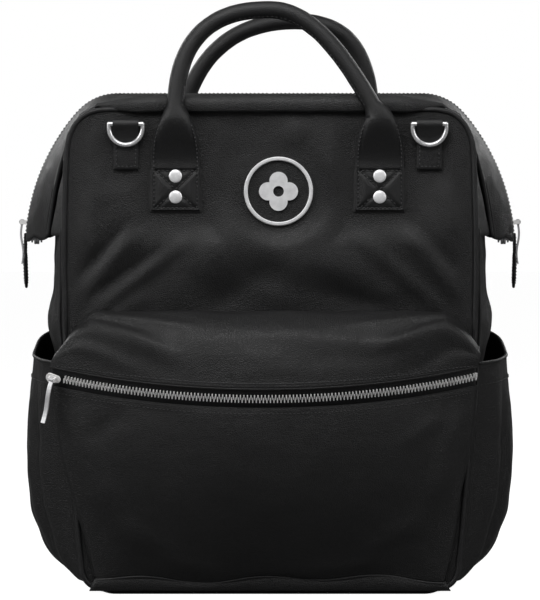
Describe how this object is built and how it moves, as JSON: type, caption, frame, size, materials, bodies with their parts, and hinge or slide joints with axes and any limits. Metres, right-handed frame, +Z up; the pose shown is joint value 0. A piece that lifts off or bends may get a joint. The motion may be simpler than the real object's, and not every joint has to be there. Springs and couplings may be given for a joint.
{
  "type": "diaper bag",
  "caption": "Black leather-look diaper backpack with a wire-framed doctor mouth, zipped front pocket, side pockets, grab handles and padded shoulder straps.",
  "frame": {"origin": "centre of the base underside", "axes": "+Z up, -Y to the front where the zipped pocket is, +X to the viewer's right when facing the front"},
  "size_m": [0.4094, 0.2437, 0.4703],
  "materials": {
    "leather_black": "satin fine-grain black leather-look",
    "leather_trim": "satin black leather-look trim",
    "lining_fabric": "grey woven lining",
    "stiff_board": "stiff base board",
    "steel_wire": "sprung steel wire",
    "zip_tape": "black herringbone zip tape",
    "zip_metal": "bright nickel zip metal",
    "polished_metal": "satin nickel hardware",
    "handle_cord": "cotton filler cord",
    "air_mesh": "black spacer mesh",
    "webbing": "black ribbed webbing",
    "buckle_plastic": "black moulded plastic"
  },
  "bodies": {
    "body": {"front_panel": "leather_black", "back_panel": "leather_black", "left_side_panel": "leather_black", "right_side_panel": "leather_black", "base_panel": "leather_black", "base_board": "stiff_board", "body_lining": "lining_fabric", "inner_pocket": "lining_fabric", "front_piping": "leather_trim", "rear_piping": "leather_trim", "left_wing_gusset": "leather_black", "right_wing_gusset": "leather_black", "front_mouth_strip": "leather_black", "rear_mouth_strip": "leather_black", "front_mouth_piping": "leather_trim", "rear_mouth_piping": "leather_trim", "frame_pins": "steel_wire", "pocket_upper_panel": "leather_black", "pocket_lower_panel": "leather_black", "pocket_zip_tape": "zip_tape", "pocket_zip_teeth": "zip_metal", "left_side_pocket": "leather_black", "right_side_pocket": "leather_black", "front_handle_patches": "leather_trim", "rear_handle_patches": "leather_trim", "front_rivets": "polished_metal", "rear_rivets": "polished_metal", "d_ring_tabs": "leather_trim", "badge_ring": "polished_metal", "badge_emblem": "polished_metal", "back_pad": "air_mesh", "strap_yoke": "leather_trim", "left_shoulder_strap": "air_mesh", "right_shoulder_strap": "air_mesh", "ladder_locks": "buckle_plastic", "lower_webbing": "webbing"},
    "front_frame": {"front_frame_wire": "steel_wire", "front_zip_tape": "zip_tape", "front_zip_teeth": "zip_metal"},
    "rear_frame": {"rear_frame_wire": "steel_wire", "rear_zip_tape": "zip_tape", "rear_zip_teeth": "zip_metal"},
    "left_slider": {"left_zip_slider": "zip_metal"},
    "right_slider": {"right_zip_slider": "zip_metal"},
    "left_pull": {"left_zip_pull": "zip_metal", "left_pull_tab": "leather_trim"},
    "right_pull": {"right_zip_pull": "zip_metal", "right_pull_tab": "leather_trim"},
    "pocket_slider": {"pocket_zip_slider": "zip_metal"},
    "pocket_pull": {"pocket_zip_pull": "zip_metal"},
    "front_handle": {"front_handle_cover": "leather_trim", "front_handle_core": "handle_cord"},
    "rear_handle": {"rear_handle_cover": "leather_trim", "rear_handle_core": "handle_cord"},
    "left_ring": {"left_d_ring": "polished_metal"},
    "right_ring": {"right_d_ring": "polished_metal"},
    "left_tail": {"left_webbing_tail": "webbing"},
    "right_tail": {"right_webbing_tail": "webbing"}
  },
  "joints": [
    {"name": "mouth_front_open", "type": "hinge", "parent": "body", "child": "front_frame", "pos_m": [0, 0, 0.281], "axis": [1, 0, 0], "range_deg": [0, 32], "deforming": ["front_mouth_strip", "left_wing_gusset", "right_wing_gusset", "front_mouth_piping"]},
    {"name": "mouth_rear_open", "type": "hinge", "parent": "body", "child": "rear_frame", "pos_m": [0, 0, 0.281], "axis": [-1, 0, 0], "range_deg": [0, 32], "deforming": ["rear_mouth_strip", "left_wing_gusset", "right_wing_gusset", "rear_mouth_piping"]},
    {"name": "left_zip_travel", "type": "hinge", "parent": "front_frame", "child": "left_slider", "pos_m": [-0.027, 0, 0.2708], "axis": [0, 1, 0], "range_deg": [0, 31]},
    {"name": "right_zip_travel", "type": "hinge", "parent": "front_frame", "child": "right_slider", "pos_m": [0.027, 0, 0.2708], "axis": [0, -1, 0], "range_deg": [0, 31]},
    {"name": "left_pull_swing", "type": "hinge", "parent": "left_slider", "child": "left_pull", "pos_m": [-0.20245, 0, 0.29421], "axis": [0, 1, 0], "range_deg": [0, 110]},
    {"name": "right_pull_swing", "type": "hinge", "parent": "right_slider", "child": "right_pull", "pos_m": [0.20245, 0, 0.29421], "axis": [0, -1, 0], "range_deg": [0, 110]},
    {"name": "pocket_zip_travel", "type": "hinge", "parent": "body", "child": "pocket_slider", "pos_m": [-0.005, 0.2175, 0.29788], "axis": [0, -0.3746, 0.9272], "range_deg": [0, 51], "deforming": ["pocket_zip_teeth"]},
    {"name": "pocket_pull_swing", "type": "hinge", "parent": "pocket_slider", "child": "pocket_pull", "pos_m": [-0.172, -0.09443, 0.17185], "axis": [-0.8957, 0.4123, 0.1666], "range_deg": [0, 100]},
    {"name": "front_handle_swing", "type": "hinge", "parent": "body", "child": "front_handle", "pos_m": [0, -0.0835, 0.3403], "axis": [1, 0, 0], "range_deg": [0, 150]},
    {"name": "rear_handle_swing", "type": "hinge", "parent": "body", "child": "rear_handle", "pos_m": [0, 0.0835, 0.3403], "axis": [-1, 0, 0], "range_deg": [0, 130]},
    {"name": "left_ring_swing", "type": "hinge", "parent": "body", "child": "left_ring", "pos_m": [-0.1137, -0.0852, 0.373], "axis": [-1, 0, 0], "range_deg": [0, 140]},
    {"name": "right_ring_swing", "type": "hinge", "parent": "body", "child": "right_ring", "pos_m": [0.1257, -0.0852, 0.373], "axis": [-1, 0, 0], "range_deg": [0, 140]},
    {"name": "left_strap_adjust", "type": "slide", "parent": "body", "child": "left_tail", "axis": [-0.0599, 0, -0.9982], "range_m": [0, 0.045]},
    {"name": "right_strap_adjust", "type": "slide", "parent": "body", "child": "right_tail", "axis": [0.0599, 0, -0.9982], "range_m": [0, 0.045]}
  ]
}
